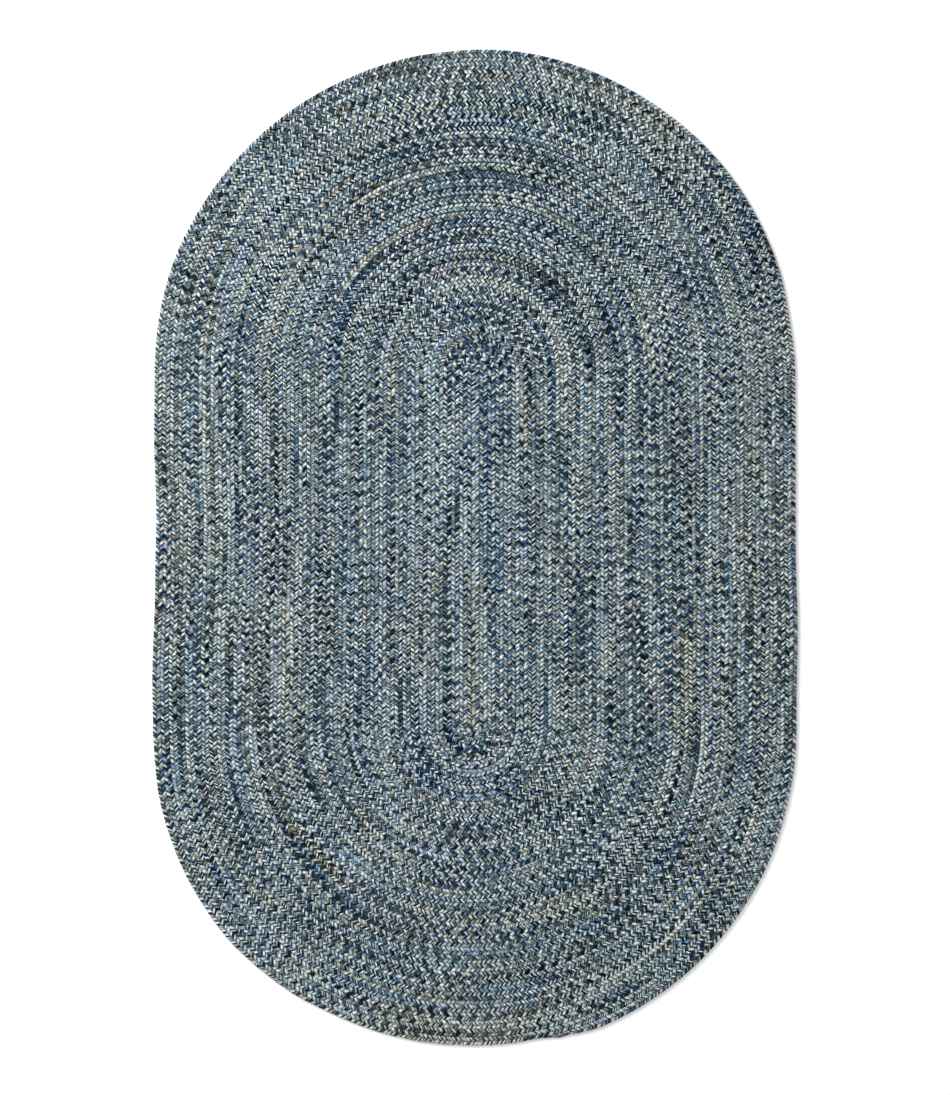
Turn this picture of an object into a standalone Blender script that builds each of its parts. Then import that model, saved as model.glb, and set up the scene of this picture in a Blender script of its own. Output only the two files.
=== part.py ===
"""An oval braided rug lying flat.

One long three-strand braid is wound in a spiral round a straight core and laced row to row, so the
whole rug is a single piece: a flat plate with a soft rounded rim, as thick as the braid. Its outline
is the outer edge of the last rows, with the small leans that hand winding leaves, and the tapered
step where the braid's outer end is tucked in.

Metres, +Z up. The long way is Y, the underside lies on z = 0, and the origin is under the middle of
the rug's length and width.
"""

import math

import bpy

# The braid and its winding
ROW_WIDTH = 0.01905  # one row of braid, laced to the next
ROWS_EACH_SIDE = 40  # from the core out to either long side
CORE_LENGTH = 0.837  # straight run between the centres of the two rounded ends
THICKNESS = 0.0100
RIM_RADIUS = 0.0042  # the outermost row's rounded shoulder
RIM_STEPS = 2  # facets of a shoulder, less one
POINT_SPACING = 0.040  # along the outline

# The braid's outer end, as angles round the -Y end from straight down towards +X
TAIL_FULL_DEG = 24.0  # the last row still has its full width here
TAIL_GONE_DEG = 12.0  # and has thinned to nothing here

# How far the real rim stands outside the even winding, read round the rug from +X towards +Y
LEAN_COLUMNS = ("bearing_deg", "out_mm")
LEANS = (
    (0, -4.4),
    (12, -4.6),
    (27, -4.8),
    (35, -9.0),
    (44, -4.2),
    (57, -1.8),
    (70, -2.3),
    (85, 0.3),
    (95, -3.4),
    (108, -6.6),
    (126, -5.8),
    (136, -2.2),
    (150, -2.6),
    (162, -1.5),
    (174, -6.4),
    (187, -3.8),
    (202, 2.6),
    (212, 0.6),
    (221, 6.8),
    (231, 11.0),
    (238, 14.2),
    (246, 10.6),
    (254, 5.4),
    (270, 5.4),
    (280, 6.0),
    (294, 5.8),
    (309, 3.9),
    (322, -1.0),
    (332, -2.6),
    (346, 0.4),
)

YARN_GREY_BLUE = (0.141, 0.181, 0.202, 1.0)  # the mixed yarns seen from far off
YARN_ROUGHNESS = 0.95


def clear_scene():
    for item in list(bpy.data.objects):
        bpy.data.objects.remove(item, do_unlink=True)


def lean_at(bearing_deg):
    """How far the rim stands out at a bearing, eased from one row of the table to the next."""
    bearing, out = (LEAN_COLUMNS.index(name) for name in ("bearing_deg", "out_mm"))
    turned = bearing_deg % 360.0
    for number, here in enumerate(LEANS):
        after = LEANS[(number + 1) % len(LEANS)]
        span = (after[bearing] - here[bearing]) % 360.0
        along = (turned - here[bearing]) % 360.0
        if along < span:
            ease = (1.0 - math.cos(math.pi * along / span)) / 2.0
            return (here[out] + (after[out] - here[out]) * ease) / 1000.0
    return 0.0


def leaned(x, y):
    """A point of the even winding, moved straight away from the core by the lean there."""
    core_y = max(-CORE_LENGTH / 2.0, min(CORE_LENGTH / 2.0, y))
    away = math.hypot(x, y - core_y)
    out = lean_at(math.degrees(math.atan2(y, x)))
    return x + out * x / away, y + out * (y - core_y) / away


def run_points(start, end):
    """A straight side, without its last point."""
    count = max(1, round(math.dist(start, end) / POINT_SPACING))
    for number in range(count):
        share = number / count
        yield tuple(a + (b - a) * share for a, b in zip(start, end))


def arc_points(centre, radii, angles_deg):
    """A stretch of a rounded end, without its last point; the radius eases from first to last."""
    turn = math.radians(angles_deg[1] - angles_deg[0])
    count = max(1, round(abs(turn) * max(radii) / POINT_SPACING))
    for number in range(count):
        share = number / count
        ease = (1.0 - math.cos(math.pi * share)) / 2.0
        radius = radii[0] + (radii[1] - radii[0]) * ease
        angle = math.radians(angles_deg[0]) + turn * share
        yield centre[0] + radius * math.cos(angle), centre[1] + radius * math.sin(angle)


def outline():
    """The rim, clockwise from the lower left, with its box centred on the origin."""
    half_core = CORE_LENGTH / 2.0
    side = ROWS_EACH_SIDE * ROW_WIDTH
    top = (0.0, half_core)
    bottom = (-ROW_WIDTH / 2.0, -half_core)  # each turn of the spiral shifts by one row there
    before = side + ROW_WIDTH / 2.0  # radius out to the last row, before the braid's end
    beyond = side - ROW_WIDTH / 2.0  # and past it
    full = TAIL_FULL_DEG - 90.0
    gone = TAIL_GONE_DEG - 90.0
    points = [
        *run_points((-side, -half_core), (-side, half_core)),
        *arc_points(top, (side, side), (180.0, 0.0)),
        *run_points((side, half_core), (side, -half_core)),
        *arc_points(bottom, (before, before), (0.0, full)),
        *arc_points(bottom, (before, beyond), (full, gone)),
        *arc_points(bottom, (beyond, beyond), (gone, -180.0)),
    ]
    return centred([leaned(*point) for point in points])


def centred(points):
    middle = [(min(values) + max(values)) / 2.0 for values in zip(*points)]
    return [(x - middle[0], y - middle[1]) for x, y in points]


def yarn_material():
    material = bpy.data.materials.new("braided_yarn")
    material.use_nodes = True
    shader = material.node_tree.nodes["Principled BSDF"]
    shader.inputs["Base Color"].default_value = YARN_GREY_BLUE
    shader.inputs["Roughness"].default_value = YARN_ROUGHNESS
    shader.inputs["Metallic"].default_value = 0.0
    return material


def build_rug(collection):
    """The flat outline, extruded to the braid's thickness, with both shoulders rounded."""
    points = outline()
    curve = bpy.data.curves.new("braided_rug", "CURVE")
    curve.dimensions = "2D"
    curve.fill_mode = "BOTH"
    curve.extrude = THICKNESS / 2.0 - RIM_RADIUS
    curve.bevel_depth = RIM_RADIUS
    curve.bevel_resolution = RIM_STEPS
    curve.offset = -RIM_RADIUS  # so that the shoulders end on the outline
    spline = curve.splines.new("POLY")
    spline.points.add(len(points) - 1)
    for target, (x, y) in zip(spline.points, points):
        target.co = (x, y, 0.0, 1.0)
    spline.use_cyclic_u = True
    curve.materials.append(yarn_material())
    rug = bpy.data.objects.new("braided_rug", curve)
    rug.location.z = THICKNESS / 2.0
    collection.objects.link(rug)
    return rug


def main():
    clear_scene()
    collection = bpy.data.collections.new("oval_braided_rug")
    bpy.context.scene.collection.children.link(collection)
    build_rug(collection)


main()
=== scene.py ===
"""An oval braided rug, lying flat on a pale floor and seen from straight above.

The rug is one long flat braid of three strands, wound clockwise in a spiral round a straight core
and laced row to row. Every strand is swept here as a closed tube that goes out over the top of its
row, round the row's edge, back underneath and up through the middle. The yarns of a strand are
drawn by its material, which follows each strand from end to end.

Metres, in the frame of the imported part: the long way is Y, and the rug lies on z = 0.
"""

import math

import bpy
import numpy as np
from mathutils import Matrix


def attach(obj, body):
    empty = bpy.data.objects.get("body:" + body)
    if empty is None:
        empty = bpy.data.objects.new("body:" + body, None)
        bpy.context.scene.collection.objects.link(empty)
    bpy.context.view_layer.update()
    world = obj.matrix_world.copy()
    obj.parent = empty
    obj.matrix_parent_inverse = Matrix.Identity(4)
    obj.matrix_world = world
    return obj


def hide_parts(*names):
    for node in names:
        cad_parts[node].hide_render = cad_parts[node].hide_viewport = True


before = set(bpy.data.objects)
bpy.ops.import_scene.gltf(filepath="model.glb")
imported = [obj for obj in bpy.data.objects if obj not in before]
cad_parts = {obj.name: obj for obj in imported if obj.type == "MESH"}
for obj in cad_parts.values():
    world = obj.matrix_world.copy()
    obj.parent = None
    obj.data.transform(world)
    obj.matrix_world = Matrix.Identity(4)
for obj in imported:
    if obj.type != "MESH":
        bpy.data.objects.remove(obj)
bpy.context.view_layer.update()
MM = 0.001
SEED = 19
TINY = 1e-6  # in place of nought under a division line

# The winding, as the rug was laced
ROW_WIDTH = 19.05 * MM
TURNS = 40
CORE_LENGTH = 837.0 * MM  # between the centres of the two rounded ends
THICKNESS = 10.0 * MM
TAIL_FULL_DEG = 24.0  # from straight down towards +X: the last row still has its full width here
TAIL_GONE_DEG = 12.0  # and has thinned to nothing here
# Bearing round the rug in degrees, and how far the rim stands outside the even winding in mm
LEANS = (
    (0, -4.4), (12, -4.6), (27, -4.8), (35, -9.0), (44, -4.2), (57, -1.8),
    (70, -2.3), (85, 0.3), (95, -3.4), (108, -6.6), (126, -5.8), (136, -2.2),
    (150, -2.6), (162, -1.5), (174, -6.4), (187, -3.8), (202, 2.6), (212, 0.6),
    (221, 6.8), (231, 11.0), (238, 14.2), (246, 10.6), (254, 5.4), (270, 5.4),
    (280, 6.0), (294, 5.8), (309, 3.9), (322, -1.0), (332, -2.6), (346, 0.4),
)
LEAN_POWER = 1.6  # the leans grow from nothing at the core to their full size at the rim
RIM_SAMPLES = 4000
STRETCHES_A_TURN = 4  # a straight run, an arc, and the same again

# The braid
STRANDS = 3
REPEAT = 33.6 * MM  # along the row, until a strand lies as it did before
SLANT = math.radians(35.0)  # a strand's way over the top face, from straight across the row
RINGS = (  # one half repeat of a strand; all in mm, measured from the middle of the row
    # along, out, up, half width, half thickness, and the face: 0 top, 1 edge, 2 underside
    (0.0, 1.8, 1.7, 4.4, 2.5, 0),
    (4.3, 7.8, 2.5, 4.5, 2.5, 0),
    (7.4, 8.6, 0.4, 4.1, 1.8, 1),
    (11.7, 4.2, -2.5, 4.3, 2.5, 2),
)
SIDES = 4  # of a strand's section: its two edges, and a crest on each face
ROPED_OUT = (0.0, -1.0, -0.8, 0.0)  # mm: how the rings of a domed row differ from those above
ROPED_UP = (1.3, -1.2, -0.3, 0.0)
STRAND_STRETCH = 1.6  # length of strand in a length of row
BRAID_START = -8.5 * MM  # it is tucked a little past the end of the core
START_TAPER = 13.0 * MM
START_FULLNESS, END_FULLNESS = 0.45, 0.12  # share of the braid's width at its two tips
TIP_THICKNESS = 0.5  # share of its thickness where its width would be nought
STRAY_ALONG, STRAY_OUT, STRAY_UP = 0.75 * MM, 0.15 * MM, 0.18 * MM  # of one crossing from the next
STRAY_WIDTH = 0.12  # as a share
RIM_REACH = 9.9 * MM  # the last row has no neighbour to lap over
UNDER_CLEARANCE, PROUD = 0.1 * MM, 0.4 * MM  # off the floor, and above the rug's even thickness
# Where rows stand up like ropes: row, rows wide, bearing in degrees, degrees wide, how much
ROPED = (
    (21.5, 17.0, 90.0, 44.0, 1.0),
    (7.0, 6.0, 270.0, 40.0, 0.7),
    (12.4, 2.6, 170.0, 70.0, 0.7),
)

# The inner piece: a dark sheet of painted shade where the strands pass through the middle
INNER_POINTS = 700  # round its rim
INNER_OVERLAP = 0.45  # share of the arc just before the last turn that it takes in
INNER_SHORT = 50.0 * MM  # of the braid's tucked end
INNER_LOW, INNER_HIGH = 3.6 * MM, 6.0 * MM  # above the floor

# The strands' faces on the baked sheet
BAKE_SHAPE = 3.2  # lines are this much taller than one segment is long
BAKE_MARGIN = 0.05  # share of a line's height left free above and below
# Shares of a line's height up to each corner of a section: the faces that show have the most
LEFT_FACES = (0.0, 0.4, 0.8, 0.9, 1.0)
RIGHT_FACES = (0.0, 0.1, 0.2, 0.6, 1.0)
CAP_SIZE, CAP_LINE = 0.4, 0.7  # shares of a cell: a cap's size, and its foot below the map's top

# Yarns
YARNS_ROUND = 7  # round one strand, so three or four show on a face
WAVER = 40.0 * MM  # a yarn's way from side to side in its strand
ASKEW = 0.12  # how far it goes, as a share of the way round
OWN_START = 977.0  # yarns start this far apart at most in the order of colours, out of step
CHANGES = (1.0, 8.0)  # a yarn's changes of colour in a metre of strand, fewest and most
# How far one yarn differs from its strand's mean
YARN_TONES, YARN_HUES, YARN_TINTS = 0.41, 0.05, 0.2
PALE_LESS_BLUE = -0.68  # change of hue with a yarn's tone

# Strands: their dyes wander as they run, each over its own length of braid
EVEN_MIX = 0.5  # the middle of the tones, hues and tints
TONE_SPREAD, HUE_SPREAD, TINT_SPREAD = 0.065, 0.22, 0.21
PALE_SHARE, PALE_REACH = 0.30, 70.0 * MM
APART_SHARE = 0.95  # of the contrast between the three strands
LEAD_STEP, LEAD_REACH = 10.0 * MM, 120.0 * MM  # of that contrast
BLUE_SHARE, BLUE_REACH = 0.90, 80.0 * MM
DRIFT_SHARE, DRIFT_REACH = 0.45, 500.0 * MM
GREEN_REACH = 60.0 * MM
PALE_STRAND_LESS_BLUE = 0.26
CORE_BLUER = 0.10  # from the first row to the last
EVEN_AT = 0.45  # share of the braid's length where the rows are neither bluer nor less blue

# Where one colour gathers: row, rows wide, bearing, degrees wide, how much paler and bluer
DYE_POOLS = (
    (0.5, 1.6, 270, 24, 0.04, -0.30),
    (1.8, 1.3, 58, 56, -0.04, 0.30),
    (3.7, 1.2, 290, 24, 0.07, -0.09),
    (4.3, 2.6, 27, 40, -0.03, 0.17),
    (5.0, 1.2, 108, 34, 0.11, 0.00),
    (6.0, 1.2, 97, 20, -0.04, 0.21),
    (6.9, 2.4, 298, 24, -0.08, 0.04),
    (8.0, 3.2, 264, 24, -0.03, 0.17),
    (11.3, 1.4, 78, 40, 0.07, -0.30),
    (12.7, 2.0, 26, 44, 0.06, -0.04),
    (13.0, 2.8, 330, 46, -0.06, 0.04),
    (14.3, 1.0, 66, 22, -0.18, 0.21),
    (15.5, 1.8, 185, 62, -0.02, 0.17),
    (15.0, 6.0, 231, 20, -0.01, 0.13),
    (17.8, 1.5, 122, 22, -0.06, 0.26),
    (19.2, 1.2, 106, 16, 0.04, -0.30),
    (21.2, 1.8, 250, 12, 0.04, -0.21),
    (21.8, 1.3, 52, 10, 0.08, -0.34),
    (23.6, 2.2, 208, 28, 0.08, -0.26),
    (24.2, 1.8, 272, 28, 0.06, -0.26),
    (25.4, 1.4, 104, 11, 0.08, -0.30),
    (25.5, 5.0, 110, 32, 0.04, -0.04),
    (26.0, 2.2, 328, 20, 0.04, -0.26),
    (27.0, 3.0, 288, 26, -0.05, 0.04),
    (27.4, 1.3, 102, 12, -0.07, 0.26),
    (30.9, 1.3, 89, 11, -0.08, 0.30),
    (34.0, 3.0, 2, 40, 0.00, -0.21),
    (36.0, 9.0, 162, 46, 0.03, -0.13),
    (37.0, 4.0, 236, 18, -0.06, 0.09),
    (37.8, 3.6, 267, 20, 0.00, -0.26),
    (38.2, 2.8, 67, 10, 0.02, -0.30),
    (38.6, 4.4, 50, 15, -0.11, 0.13),
)
POOL_ENDS = (0.7, 7.0)  # rows and degrees over which a pool fades out
YARN_GAP_SHADE, YARN_CREST = 0.12, 0.7  # painted shade between two yarns, and how round a yarn is out of it
EDGE_SHADE, EDGE_REACH = 0.4, 0.85  # painted shade, the same along the two edges of a strand
TINTS = ((0.0, "#fff6ff"), (1.0, "#f6fff5"))  # a breath of violet, and of green
FLECK, FLECKS_ROUND = 5.0 * MM, 6.0  # the length of one, and how many go round a strand
FLECK_LIGHT = (0.6, 1.4)
NOISE_LOW, NOISE_HIGH = 0.3, 0.7  # between which most of a noise lies
FIBRE = 3.0 * MM  # a staple's end every so often makes the surface rougher
FIBRE_ROUGHNESS = (0.78, 0.98)
YARN_RISE, RISE_STRENGTH = 0.5 * MM, 0.7  # of a yarn's crest above the gaps beside it
WOOL_SHINE = 0.05
PAINTED_SHADE_WOOL = "#09161d"  # painted shade: the dark colour mixed into the wool between yarns, along strand edges and where strands dive
ROPED_GROOVE = 0.2  # how much sooner a domed row falls into the painted shade
OPEN_WOOL = 4.6 * MM  # from the row's middle, where a strand lies highest and is in full light
DIVE_REACH = 12.0  # mm from the row's middle, beyond the table's last line
DIVES = (  # painted shade out from the row's middle, in mm: how much light is painted on the wool
    (0.0, "#848484"),
    (1.5, "#d4d4d4"),
    (4.0, "#ffffff"),
    (7.5, "#ffffff"),
    (9.5, "#dcdcdc"),
    (11.5, "#606060"),
)


def linear(hex_colour):
    """The linear colour of an sRGB hex value."""
    channels = [int(hex_colour[i : i + 2], 16) / 255.0 for i in (1, 3, 5)]
    return (
        *(c / 12.92 if c <= 0.04045 else ((c + 0.055) / 1.055) ** 2.4 for c in channels),
        1.0,
    )


def add(tree, kind, inputs=None, stops=(), **settings):
    """Adds a node with its settings, and fills its inputs with values or other nodes' outputs."""
    node = tree.nodes.new("ShaderNode" + kind)
    for name, value in settings.items():
        setattr(node, name, value)
    for name, value in (inputs or {}).items():
        if isinstance(value, bpy.types.NodeSocket):
            tree.links.new(value, node.inputs[name])
        else:
            node.inputs[name].default_value = value
    for number, (position, colour) in enumerate(stops):
        elements = node.color_ramp.elements
        stop = elements[number] if number < len(elements) else elements.new(position)
        stop.position, stop.color = position, linear(colour)
    return node.outputs


def new_material(name):
    material = bpy.data.materials.new(name)
    material.use_nodes = True
    material.node_tree.nodes.clear()
    return material, material.node_tree


# ---- The winding ----


def stretches():
    """The row's middle line, run by run: length, start or centre, heading, radius, first angle."""
    half = CORE_LENGTH / 2.0
    found = []
    for turn in range(TURNS):
        side = (turn + 0.5) * ROW_WIDTH
        under = (turn + 1.0) * ROW_WIDTH
        found += [
            (CORE_LENGTH, -side, -half, 1.0, 0.0, 0.0),
            (math.pi * side, 0.0, half, 0.0, side, math.pi),
            (CORE_LENGTH, side, half, -1.0, 0.0, 0.0),
            (math.pi * under, -ROW_WIDTH / 2.0, -half, 0.0, under, 0.0),
        ]
    return np.array(found)


STRETCHES = stretches()
STARTS = np.concatenate([[0.0], np.cumsum(STRETCHES[:, 0])])
LAST_TURN = STARTS[-1 - STRETCHES_A_TURN]
FULL_AT = STARTS[-2] + math.radians(90.0 - TAIL_FULL_DEG) * STRETCHES[-1, 4]
BRAID_LENGTH = STARTS[-2] + math.radians(90.0 - TAIL_GONE_DEG) * STRETCHES[-1, 4]


def row_middle(along):
    """Where the row's middle lies after a length of braid, and the way outward there."""
    index = np.clip(np.searchsorted(STARTS, along, side="right") - 1, 0, len(STRETCHES) - 1)
    _, x, y, heading, radius, first = np.moveaxis(STRETCHES[index], -1, 0)
    run = along - STARTS[index]
    straight = heading != 0.0
    angle = first - run / np.where(straight, 1.0, radius)
    out_x = np.where(straight, -heading, np.cos(angle))
    out_y = np.where(straight, 0.0, np.sin(angle))
    return (
        np.where(straight, x, x + radius * out_x),
        np.where(straight, y + heading * run, y + radius * out_y),
        out_x,
        out_y,
    )


def leaned(x, y):
    """Points of the even winding, moved away from the core as far as the real rows stand out."""
    bearings, outs = np.array([*LEANS, (360, LEANS[0][1])], float).T
    bearing = np.degrees(np.arctan2(y, x)) % 360.0
    index = np.clip(np.searchsorted(bearings, bearing, side="right") - 1, 0, len(LEANS) - 1)
    share = (bearing - bearings[index]) / (bearings[index + 1] - bearings[index])
    ease = (1.0 - np.cos(np.pi * share)) / 2.0
    lean = (outs[index] + (outs[index + 1] - outs[index]) * ease) * MM
    core_y = np.clip(y, -CORE_LENGTH / 2.0, CORE_LENGTH / 2.0)
    away = np.maximum(np.hypot(x, y - core_y), TINY)
    out = lean * (away / (TURNS * ROW_WIDTH)) ** LEAN_POWER
    return x + out * x / away, y + out * (y - core_y) / away


def rim_middle():
    """The middle of the rug's outline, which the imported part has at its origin."""
    along = np.linspace(LAST_TURN, BRAID_LENGTH, RIM_SAMPLES)
    x, y, out_x, out_y = row_middle(along)
    reach = ROW_WIDTH / 2.0
    x, y = leaned(x + out_x * reach, y + out_y * reach)
    return (x.min() + x.max()) / 2.0, (y.min() + y.max()) / 2.0


RIM_MIDDLE = rim_middle()


def laid_down(along, across, up):
    """Places in the rug of points that are given along the braid, out from its middle and up."""
    x, y, out_x, out_y = row_middle(along)
    x, y = leaned(x + out_x * across, y + out_y * across)
    height = np.clip(THICKNESS / 2.0 + up, UNDER_CLEARANCE, THICKNESS + PROUD)
    return np.stack([x - RIM_MIDDLE[0], y - RIM_MIDDLE[1], height], axis=-1)


# ---- The strands ----


def wandering(rng, count, reach):
    """A random line about nought, alike over about a reach of its own steps and then forgotten."""
    spectrum = np.fft.rfft(rng.normal(size=count))
    spectrum /= np.sqrt(1.0 + (2.0 * np.pi * np.fft.rfftfreq(count) * reach) ** 2)
    line = np.fft.irfft(spectrum, count)
    return (line - line.mean()) / line.std()


def fullness(along):
    """How much of its full size the braid has: it is drawn thin at its start and its tucked end."""
    start = np.clip((along - BRAID_START) / START_TAPER, 0.0, 1.0)
    gone = np.clip((along - FULL_AT) / (BRAID_LENGTH - FULL_AT), 0.0, 1.0)
    end = 1.0 - (1.0 - np.cos(np.pi * gone)) / 2.0
    return (
        START_FULLNESS + (1.0 - START_FULLNESS) * start,
        END_FULLNESS + (1.0 - END_FULLNESS) * end,
    )


def gathered(along, table):
    """Adds up a table of places in the rug, each faded out at its ends, for points of the braid."""
    x, y, _, _ = row_middle(along)
    rows = np.hypot(x, y - np.clip(y, -CORE_LENGTH / 2.0, CORE_LENGTH / 2.0)) / ROW_WIDTH
    bearing = np.degrees(np.arctan2(y, x))
    total = np.zeros((len(table[0]) - 4, len(along)))
    for row, rows_wide, middle, degrees_wide, *amounts in table:
        off_row = np.abs(rows - row)
        off_bearing = np.abs((bearing - middle + 180.0) % 360.0 - 180.0)
        share = np.clip(0.5 + (rows_wide / 2.0 - off_row) / POOL_ENDS[0], 0.0, 1.0)
        share *= np.clip(0.5 + (degrees_wide / 2.0 - off_bearing) / POOL_ENDS[1], 0.0, 1.0)
        total += np.array(amounts)[:, None] * share
    return total


def strand_rings(strand, leads, rng):
    """One strand as section rings: where they lie, and what its yarns need to know there."""
    repeats = int(BRAID_LENGTH / REPEAT)
    halves = np.arange(-2, 2 * repeats)  # all three strands are there from the braid's first stitch
    table = np.array(RINGS)
    base = (halves * 0.5 + strand / STRANDS) * REPEAT
    along = (base[:, None] + table[None, :, 0] * MM).ravel()
    keep = (along > BRAID_START) & (along < BRAID_LENGTH)
    side = np.repeat(np.where(halves % 2 == 0, -1.0, 1.0), len(RINGS))
    table = np.tile(table[:, 1:], (len(halves), 1))
    out, up, half_width, half_thick, face = table.T
    roped = gathered(along, ROPED)[0]
    out = out + roped * np.tile(ROPED_OUT, len(halves))
    up = up + roped * np.tile(ROPED_UP, len(halves))
    out, up, half_width, half_thick = (v * MM for v in (out, up, half_width, half_thick))

    # No two crossings lie quite alike
    limb = np.repeat(rng.normal(0.0, 1.0, (4, len(halves))), len(RINGS), axis=1)
    along = along + limb[0] * STRAY_ALONG
    out = out + limb[1] * STRAY_OUT
    half_width = half_width * (1.0 + limb[2] * STRAY_WIDTH)
    up = up + np.where(face == 0, limb[3] * STRAY_UP, 0.0)

    # Sections: the edges of the strand, and a crest on each of its faces
    cross, ahead = math.sin(SLANT), math.cos(SLANT)
    edge_out = np.choose(face.astype(int), [side * cross, side * 0.0, -side * cross])
    edge_up = np.choose(face.astype(int), [side * 0.0, side * 0.0 - cross, side * 0.0])
    crest_out = np.where(face == 1, -1.0, 0.0)
    crest_up = np.choose(face.astype(int), [-side, side * 0.0, side])
    middle = np.stack([along, side * out, up], axis=-1)[:, None, :]
    edge = np.stack([np.full_like(along, -ahead), edge_out, edge_up], axis=-1) * half_width[:, None]
    crest = np.stack([np.zeros_like(along), crest_out, crest_up], axis=-1) * half_thick[:, None]
    around = np.stack([edge, crest, -edge, -crest], axis=1)
    points = middle + around

    last_row = (along > LAST_TURN)[:, None] & (points[..., 1] > 0.0)
    points[..., 1] = np.where(last_row, np.minimum(points[..., 1], RIM_REACH), points[..., 1])
    start, end = fullness(points[..., 0])
    across = points[..., 1] * start * end - (1.0 - end) * ROW_WIDTH / 2.0
    high = points[..., 2] * (TIP_THICKNESS + (1.0 - TIP_THICKNESS) * start * end)
    places = laid_down(np.maximum(points[..., 0], BRAID_START), across, high)
    third = 2.0 * math.pi * strand / STRANDS
    steps = np.linspace(0.0, BRAID_LENGTH, len(leads[0]))
    lead, lag = (np.interp(along, steps, line) for line in leads)
    dyes = dye_lot(along, lead * math.cos(third) + lag * math.sin(third), rng)
    # How far out from the row's middle, in mm, for the material's painted shade
    groove = np.where(last_row, np.minimum(points[..., 1], OPEN_WOOL), points[..., 1]) / MM
    groove = groove * (1.0 + ROPED_GROOVE * roped[:, None])
    found = {"along": along, "side": side, "places": places, "groove": groove}
    found |= {name: np.repeat(values[:, None], SIDES, axis=1) for name, values in dyes.items()}
    return {name: values[keep] for name, values in found.items()}


def dye_lot(along, apart, rng):
    """How pale, how blue and how green one strand's yarns are together, as they run on."""
    count = len(along)
    ring = BRAID_LENGTH / count
    pale = PALE_SHARE * wandering(rng, count, PALE_REACH / ring) + APART_SHARE * apart
    blue = BLUE_SHARE * wandering(rng, count, BLUE_REACH / ring)
    blue += DRIFT_SHARE * wandering(rng, count, DRIFT_REACH / ring)
    green = wandering(rng, count, GREEN_REACH / ring)
    paler, bluer = gathered(along, DYE_POOLS)
    bluer += CORE_BLUER * (EVEN_AT - along / BRAID_LENGTH)
    return {
        "tone": EVEN_MIX + TONE_SPREAD * pale + paler,
        "hue": EVEN_MIX + HUE_SPREAD * blue - PALE_STRAND_LESS_BLUE * pale + bluer,
        "tint": EVEN_MIX + TINT_SPREAD * green,
    }


def strand_faces(first, count):
    """The side faces of a tube whose rings start at a vertex number, and a face over each end."""
    ring = first + SIDES * np.arange(count - 1)[:, None]
    here = np.arange(SIDES)[None, :]
    after = (here + 1) % SIDES
    beyond = ring + SIDES
    sides = np.stack([ring + here, ring + after, beyond + after, beyond + here], axis=-1)
    last = first + SIDES * (count - 1)
    ends = [[first + i for i in reversed(range(SIDES))], [last + i for i in range(SIDES)]]
    return sides.reshape(-1, SIDES), np.array(ends)


def mesh_object(name, places, faces, material):
    mesh = bpy.data.meshes.new(name)
    mesh.vertices.add(len(places))
    mesh.vertices.foreach_set("co", places.astype(np.float32).ravel())
    mesh.loops.add(faces.size)
    mesh.loops.foreach_set("vertex_index", faces.astype(np.int32).ravel())
    mesh.polygons.add(len(faces))
    first_loops = np.arange(0, faces.size, faces.shape[1], dtype=np.int32)
    mesh.polygons.foreach_set("loop_start", first_loops)
    mesh.polygons.foreach_set("use_smooth", np.ones(len(faces), bool))
    mesh.update(calc_edges=True)
    mesh.materials.append(material)
    made = bpy.data.objects.new(name, mesh)
    bpy.context.scene.collection.objects.link(made)
    return made


def set_map(mesh, name, corners):
    mesh.uv_layers.new(name=name).data.foreach_set("uv", corners.astype(np.float32).ravel())


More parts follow.
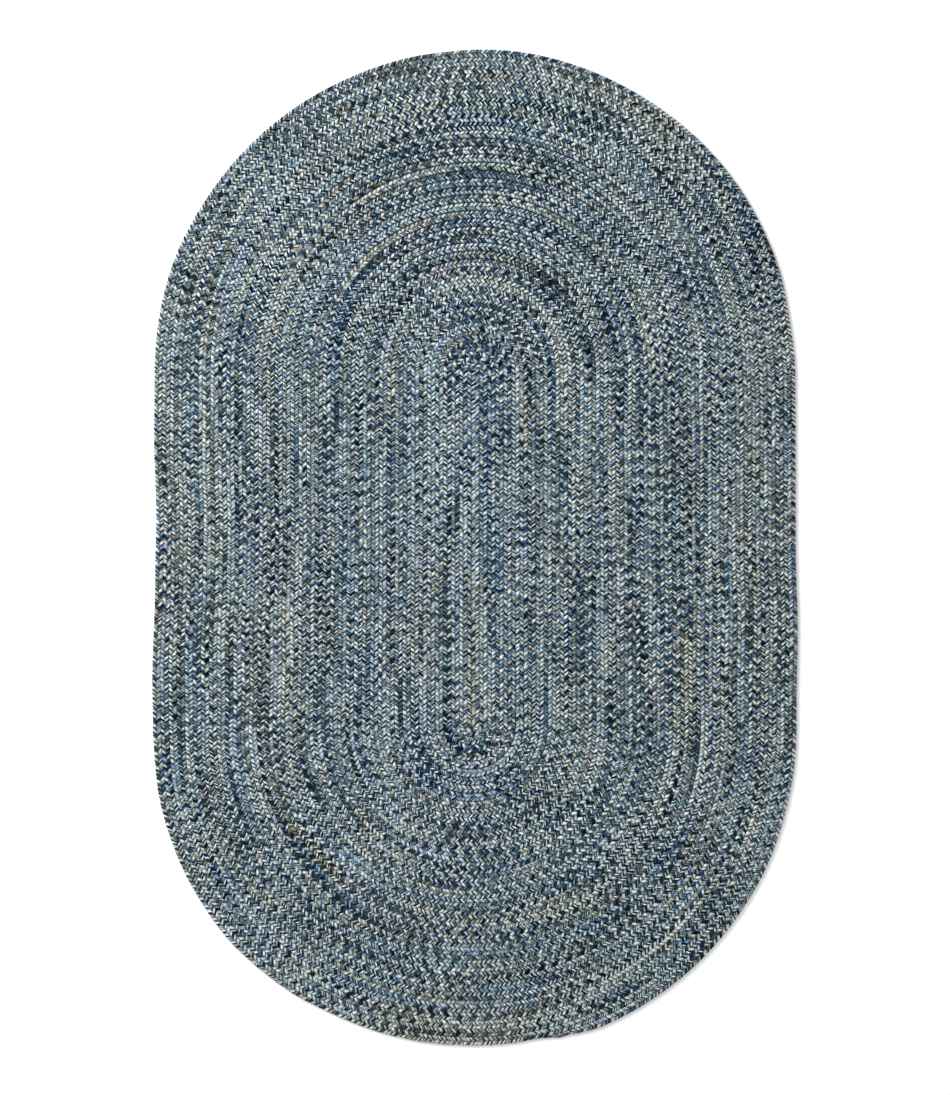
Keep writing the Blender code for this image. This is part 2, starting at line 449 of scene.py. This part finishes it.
def turn_piece(number, strands, span, material):
    """The stretches of all three strands in one length of braid, as one piece."""
    lengths = []
    for strand in strands:
        first, last = np.searchsorted(strand["along"], span)
        lengths.append({name: values[first : last + 1] for name, values in strand.items()})
    segments = sum(len(length["along"]) - 1 for length in lengths)
    columns = math.ceil(math.sqrt(segments * BAKE_SHAPE))
    lines = math.ceil(segments / columns) + 1
    faces, runs, bakes = [], [], []
    count = segment = 0
    for strand, length in enumerate(lengths):
        along, side = length["along"], length["side"]
        faces += strand_faces(count, len(along))
        count += len(along) * SIDES
        n = len(along) - 1
        ring = np.repeat(np.arange(n), SIDES)
        here = np.tile(np.arange(SIDES), n)
        ring_of = np.stack([ring, ring, ring + 1, ring + 1], axis=-1)
        share = np.stack([here, here + 1, here + 1, here], axis=-1)
        # Yarns: metres along the strand, and the strand's number plus the share of the way round it
        runs.append(np.stack([along[ring_of] * STRAND_STRETCH, strand + share / SIDES], axis=-1))
        tips = along[[[0] * SIDES, [n] * SIDES]] * STRAND_STRETCH
        runs.append(np.stack([tips, np.full(tips.shape, strand)], axis=-1))
        # The bake's map: the strands cut into lines, one above the other
        leftward = (side[ring_of] < 0.0)[..., None]
        spread = np.where(leftward, np.array(LEFT_FACES), np.array(RIGHT_FACES))
        height = np.take_along_axis(spread, share[..., None], axis=-1)[..., 0]
        line, column = (segment + ring) // columns, (segment + ring) % columns
        u = (column[:, None] + np.array([0, 0, 1, 1])[None, :]) / columns
        v = (line[:, None] + BAKE_MARGIN + (1.0 - 2.0 * BAKE_MARGIN) * height) / lines
        bakes.append(np.stack([u, v], axis=-1))
        cap = np.array([[0.0, 0.0], [1.0, 0.0], [1.0, 1.0], [0.0, 1.0]]) * CAP_SIZE
        corner = np.array([[[2 * strand, 0.0]], [[2 * strand + 1, 0.0]]]) / columns
        bakes.append(corner + cap[None] / [columns, lines] + [0.0, (lines - CAP_LINE) / lines])
        segment += n
    places = np.concatenate([length["places"].reshape(-1, 3) for length in lengths])
    piece = mesh_object(f"braid_turn_{number:02d}", places, np.concatenate(faces), material)
    set_map(piece.data, "OFBake", np.concatenate([b.reshape(-1, 2) for b in bakes]))
    set_map(piece.data, "yarn_run", np.concatenate([r.reshape(-1, 2) for r in runs]))
    for name in ("tone", "hue", "tint", "groove"):
        values = np.concatenate([length[name].ravel() for length in lengths])
        known = piece.data.attributes.new(name, "FLOAT", "POINT")
        known.data.foreach_set("value", values.astype(np.float32))
    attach(piece, "root")
    return piece


def braid(material):
    """The whole braid, one piece for every turn of the winding."""
    rng = np.random.default_rng(SEED)
    # Where one strand is paler than the even mix, the other two together are darker
    steps = int(BRAID_LENGTH / LEAD_STEP)
    leads = [wandering(rng, steps, LEAD_REACH / LEAD_STEP) for _ in range(2)]
    strands = [strand_rings(strand, leads, rng) for strand in range(STRANDS)]
    turns = STARTS[STRETCHES_A_TURN:-1:STRETCHES_A_TURN]
    ends = [BRAID_START - REPEAT, *turns, BRAID_LENGTH]
    return [
        turn_piece(number + 1, strands, span, material)
        for number, span in enumerate(zip(ends[:-1], ends[1:]))
    ]


def inner_shade_sheet(material):
    """A dark sheet through the middle of the rug, where the strands pass through one another:
    painted shade, so no daylight shows.
    """
    start = LAST_TURN - STRETCHES[-1 - STRETCHES_A_TURN, 0] * INNER_OVERLAP
    along = np.linspace(start, BRAID_LENGTH - INNER_SHORT, INNER_POINTS)
    x, y, _, _ = row_middle(along)
    x, y = leaned(x, y)
    x, y = x - RIM_MIDDLE[0], y - RIM_MIDDLE[1]
    n = len(x)
    mesh = bpy.data.meshes.new("inner_shade_sheet")
    points = [(*p, height) for height in (INNER_LOW, INNER_HIGH) for p in zip(x, y)]
    faces = [tuple(range(n)), tuple(reversed(range(n, 2 * n)))]
    faces += [(i, n + i, n + (i + 1) % n, (i + 1) % n) for i in range(n)]
    mesh.from_pydata([tuple(map(float, p)) for p in points], [], faces)
    mesh.validate()
    mesh.materials.append(material)
    made = bpy.data.objects.new("inner_shade_sheet", mesh)
    bpy.context.scene.collection.objects.link(made)
    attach(made, "root")
    return made


# ---- Materials ----

HIDDEN_FLECK = 0.006  # a dark patch, as a share of the inner piece's width and of its length
# painted shade: the inner sheet's colours, from darkest to palest
INNER_SHADE_TONES = ((0.0, "#080c12"), (1.0, "#1c2631"))
# The yarn's colours, from its darkest lengths to its palest, with a channel's full light as 255
DYE_TONES = (0.00, 0.18, 0.36, 0.50, 0.61, 0.72, 0.85, 1.00)
DYE_LIGHTNESS = (7, 32, 86, 148, 190, 208, 221, 231)  # the mean of the three channels
DYES = (  # undyed and tan yarn, sea grey, and blue: blue over red, and green over their mean
    ((3, -2, -9, -11, -9, -5, 0, 5), (4, 6.5, 7, 6, 6, 5, 4, 3)),
    ((20, 29, 35, 33, 28, 25, 23, 23), (2, 3.5, 5, 6, 6, 5, 4, 3)),
    ((33, 54, 69, 62, 51, 45, 40, 36), (-2, -3, -2, 0, 2, 2, 2, 1)),
)
ALL_GREENER = 1.1  # than the table says


def dye_stops(bluer, greener):
    """The colours of one kind of yarn as the stops of a ramp."""
    stops = []
    for tone, light, blue, green in zip(DYE_TONES, DYE_LIGHTNESS, bluer, greener):
        green += ALL_GREENER
        others = light - green / 3.0
        channels = (others - blue / 2.0, others + green, others + blue / 2.0)
        whole = (round(min(max(channel, 0.0), 255.0)) for channel in channels)
        stops.append((tone, "#" + "".join(f"{value:02x}" for value in whole)))
    return stops


def space_dyed_yarn():
    """Wool-blend rug yarn, spun thick, and dyed in lengths of many colours before braiding.

    The eye sees matte streaks, three or four to a strand, each one colour for 12 cm or more. Shade
    between yarns, along strand edges and where strands dive is painted into its colour.
    """
    material, tree = new_material("space_dyed_wool_blend_yarn")
    run = add(tree, "UVMap", uv_map="yarn_run")["UV"]
    split = add(tree, "SeparateXYZ", {0: run})
    along, around = split["X"], split["Y"]
    strand_tone, strand_hue, strand_tint, groove = (
        add(tree, "Attribute", attribute_name=name)["Fac"]
        for name in ("tone", "hue", "tint", "groove")
    )
    # Yarns lie a little askew in their strand
    waver = add(tree, "Math", {0: along, 1: 1.0 / WAVER}, operation="MULTIPLY")[0]
    waver = add(tree, "TexNoise", {"W": waver, "Detail": 1.0}, noise_dimensions="1D")["Fac"]
    askew = add(tree, "Math", {0: waver, 1: ASKEW, 2: around}, operation="MULTIPLY_ADD")[0]
    yarns = add(tree, "Math", {0: askew, 1: float(YARNS_ROUND)}, operation="MULTIPLY")[0]
    yarn = add(tree, "Math", {0: yarns}, operation="FLOOR")[0]
    within = add(tree, "Math", {0: yarns}, operation="FRACT")[0]
    # Each yarn changes colour after its own length
    own = add(tree, "TexWhiteNoise", {"W": yarn}, noise_dimensions="1D")["Color"]
    own = add(tree, "SeparateColor", {0: own})
    changes = add(tree, "MapRange", {0: own["Red"], 3: CHANGES[0], 4: CHANGES[1]})[0]
    shift = add(tree, "Math", {0: own["Green"], 1: OWN_START}, operation="MULTIPLY")[0]
    place = add(tree, "Math", {0: along, 1: changes, 2: shift}, operation="MULTIPLY_ADD")[0]
    place = add(tree, "Math", {0: place}, operation="FLOOR")[0]
    place = add(tree, "CombineXYZ", {"X": yarn, "Y": place})[0]
    pick = add(tree, "TexWhiteNoise", {"Vector": place}, noise_dimensions="2D")["Color"]
    pick = add(tree, "SeparateColor", {0: pick})
    own_tone = add(tree, "MapRange", {0: pick["Red"], 3: -YARN_TONES, 4: YARN_TONES})[0]
    tone = add(tree, "Math", {0: strand_tone, 1: own_tone}, operation="ADD")[0]
    own_hue = add(tree, "MapRange", {0: pick["Green"], 3: -YARN_HUES, 4: YARN_HUES})[0]
    hue = add(tree, "Math", {0: strand_hue, 1: own_hue}, operation="ADD")[0]
    hue = add(tree, "Math", {0: own_tone, 1: PALE_LESS_BLUE, 2: hue}, operation="MULTIPLY_ADD")[0]
    ramps = [dye_stops(*kind) for kind in DYES]
    tan, sea, blue = (add(tree, "ValToRGB", {0: tone}, stops)["Color"] for stops in ramps)
    cool = add(tree, "MapRange", {0: hue, 1: 0.0, 2: 0.5})[0]
    deep = add(tree, "MapRange", {0: hue, 1: 0.5, 2: 1.0})[0]
    colour = add(tree, "Mix", {0: cool, 6: tan, 7: sea}, data_type="RGBA")[2]
    colour = add(tree, "Mix", {0: deep, 6: colour, 7: blue}, data_type="RGBA")[2]
    own_tint = add(tree, "MapRange", {0: pick["Blue"], 3: -YARN_TINTS, 4: YARN_TINTS})[0]
    tint = add(tree, "Math", {0: strand_tint, 1: own_tint}, operation="ADD")[0]
    tint = add(tree, "ValToRGB", {0: tint}, TINTS)["Color"]
    tinted = {0: 1.0, 6: colour, 7: tint}
    colour = add(tree, "Mix", tinted, data_type="RGBA", blend_type="MULTIPLY")[2]
    # Flecks, where the dye took unevenly
    fleck = add(tree, "Math", {0: along, 1: 1.0 / FLECK}, operation="MULTIPLY")[0]
    fleck_round = add(tree, "Math", {0: around, 1: FLECKS_ROUND}, operation="MULTIPLY")[0]
    fleck = add(tree, "CombineXYZ", {"X": fleck, "Y": fleck_round})[0]
    fleck = {"Vector": fleck, "Scale": 1.0, "Detail": 1.0}
    fleck = add(tree, "TexNoise", fleck, noise_dimensions="2D")["Fac"]
    light = {0: fleck, 1: NOISE_LOW, 2: NOISE_HIGH, 3: FLECK_LIGHT[0], 4: FLECK_LIGHT[1]}
    light = add(tree, "MapRange", light)[0]
    colour = add(tree, "VectorMath", {0: colour, "Scale": light}, operation="SCALE")[0]
    # Painted shade: between the yarns, along a strand's two edges, and where a strand dives under
    # the next one
    round_yarn = add(tree, "Math", {0: within, 1: math.pi}, operation="MULTIPLY")[0]
    round_yarn = add(tree, "Math", {0: round_yarn}, operation="SINE")[0]
    yarn_gap_shade = add(tree, "MapRange", {0: round_yarn, 1: 0.0, 2: YARN_CREST, 3: YARN_GAP_SHADE, 4: 0.0})[0]
    colour = add(tree, "Mix", {0: yarn_gap_shade, 6: colour, 7: linear(PAINTED_SHADE_WOOL)}, data_type="RGBA")[2]
    # Painted shade along the two edges of the strand
    turned = add(tree, "Math", {0: around, 1: 2.0 * math.pi}, operation="MULTIPLY")[0]
    turned = add(tree, "Math", {0: turned}, operation="SINE")[0]
    turned = add(tree, "Math", {0: turned}, operation="ABSOLUTE")[0]
    edge = add(tree, "MapRange", {0: turned, 1: 0.0, 2: EDGE_REACH, 3: EDGE_SHADE, 4: 0.0})[0]
    colour = add(tree, "Mix", {0: edge, 6: colour, 7: linear(PAINTED_SHADE_WOOL)}, data_type="RGBA")[2]
    # Painted shade where a strand dives under the next one, deeper in domed rows
    groove = add(tree, "Math", {0: groove}, operation="ABSOLUTE")[0]
    groove = add(tree, "Math", {0: groove, 1: 1.0 / DIVE_REACH}, operation="MULTIPLY")[0]
    dives = [(out / DIVE_REACH, light) for out, light in DIVES]
    painted_dive_shade = add(tree, "ValToRGB", {0: groove}, dives)["Color"]
    colour = add(tree, "Mix", {0: painted_dive_shade, 6: linear(PAINTED_SHADE_WOOL), 7: colour}, data_type="RGBA")[2]
    bump = {"Strength": RISE_STRENGTH, "Distance": YARN_RISE, "Height": round_yarn}
    bump = add(tree, "Bump", bump)["Normal"]
    fibre = {"Vector": run, "Scale": 1.0 / FIBRE, "Detail": 2.0}
    fibre = add(tree, "TexNoise", fibre, noise_dimensions="2D")["Fac"]
    rough = {0: fibre, 3: FIBRE_ROUGHNESS[0], 4: FIBRE_ROUGHNESS[1]}
    rough = add(tree, "MapRange", rough)[0]
    wool = {"Base Color": colour, "Roughness": rough, "Normal": bump}
    wool = add(tree, "BsdfPrincipled", wool | {"Specular IOR Level": WOOL_SHINE})["BSDF"]
    add(tree, "OutputMaterial", {"Surface": wool})
    return material


def inner_shade_colour():
    """The same wool-blend yarn where it lies deep between the strands, painted dark and dull as
    shade.
    """
    material, tree = new_material("shaded_inner_wool")
    fleck = add(tree, "TexNoise", {"Scale": 1.0 / HIDDEN_FLECK})["Fac"]
    colour = add(tree, "ValToRGB", {0: fleck}, INNER_SHADE_TONES)["Color"]
    wool = add(tree, "BsdfPrincipled", {"Base Color": colour, "Roughness": 0.95})["BSDF"]
    add(tree, "OutputMaterial", {"Surface": wool})
    return material


def floor_paint():
    """Matt white paint, which gives the eye nothing but a plain pale ground."""
    material, tree = new_material("matt_white_floor_paint")
    paint = {"Base Color": linear("#fdfdfd"), "Roughness": 0.9, "Specular IOR Level": 0.2}
    add(tree, "OutputMaterial", {"Surface": add(tree, "BsdfPrincipled", paint)["BSDF"]})
    return material


# ---- The room ----


FLOOR_REACH = 30.0
ROOM_LIGHT = 0.80
PANEL_SIZE = (2.4, 2.0)
PANEL_WATTS = 170.0
PANEL_PLACE = (-2.8, 2.0, 3.2)  # above the rug's upper left, aimed at its middle


def pale_floor():
    mesh = bpy.data.meshes.new("floor")
    ways = [(-1, -1), (1, -1), (1, 1), (-1, 1)]
    corners = [(x * FLOOR_REACH, y * FLOOR_REACH, 0.0) for x, y in ways]
    mesh.from_pydata(corners, [], [(0, 1, 2, 3)])
    mesh.materials.append(floor_paint())
    floor = bpy.data.objects.new("floor", mesh)
    bpy.context.scene.collection.objects.link(floor)
    return floor


def soft_light():
    """An even white room, and one broad panel above the rug's upper left."""
    world = bpy.data.worlds.new("white_room")
    world.use_nodes = True
    background = world.node_tree.nodes["Background"]
    background.inputs["Color"].default_value = (1.0, 1.0, 1.0, 1.0)
    background.inputs["Strength"].default_value = ROOM_LIGHT
    bpy.context.scene.world = world
    panel = bpy.data.lights.new("overhead_panel", "AREA")
    panel.shape = "RECTANGLE"
    panel.size, panel.size_y = PANEL_SIZE
    panel.energy = PANEL_WATTS
    lamp = bpy.data.objects.new("overhead_panel", panel)
    lamp.location = PANEL_PLACE
    x, y, z = PANEL_PLACE
    lamp.rotation_euler = (math.atan2(math.hypot(x, y), z), 0.0, math.atan2(-y, -x) - math.pi / 2.0)
    lamp.visible_camera = False
    bpy.context.scene.collection.objects.link(lamp)


CAMERA_HEIGHT = 6.0
NEAR, FAR = 0.1, 100.0
FRAME_HEIGHT = 2.588  # metres of rug plane from the picture's top to its bottom
SENSOR = 36.0  # mm, along the picture's long side
ABOVE_MIDDLE = 1.2 * MM  # the rug lies half a pixel low in the picture


def overhead_camera():
    camera = bpy.data.cameras.new("overhead")
    camera.sensor_width = SENSOR
    camera.lens = SENSOR * (CAMERA_HEIGHT - THICKNESS) / FRAME_HEIGHT
    camera.clip_start, camera.clip_end = NEAR, FAR
    stand = bpy.data.objects.new("overhead", camera)
    stand.location = (0.0, ABOVE_MIDDLE, CAMERA_HEIGHT)
    bpy.context.scene.collection.objects.link(stand)
    bpy.context.scene.camera = stand


def main():
    bpy.context.scene.view_settings.view_transform = "Standard"
    overhead_camera()
    soft_light()
    pale_floor()
    turns = braid(space_dyed_yarn())
    middle = inner_shade_sheet(inner_shade_colour())
    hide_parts("braided_rug")
    for turn in turns:
        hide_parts("braided_rug")


main()
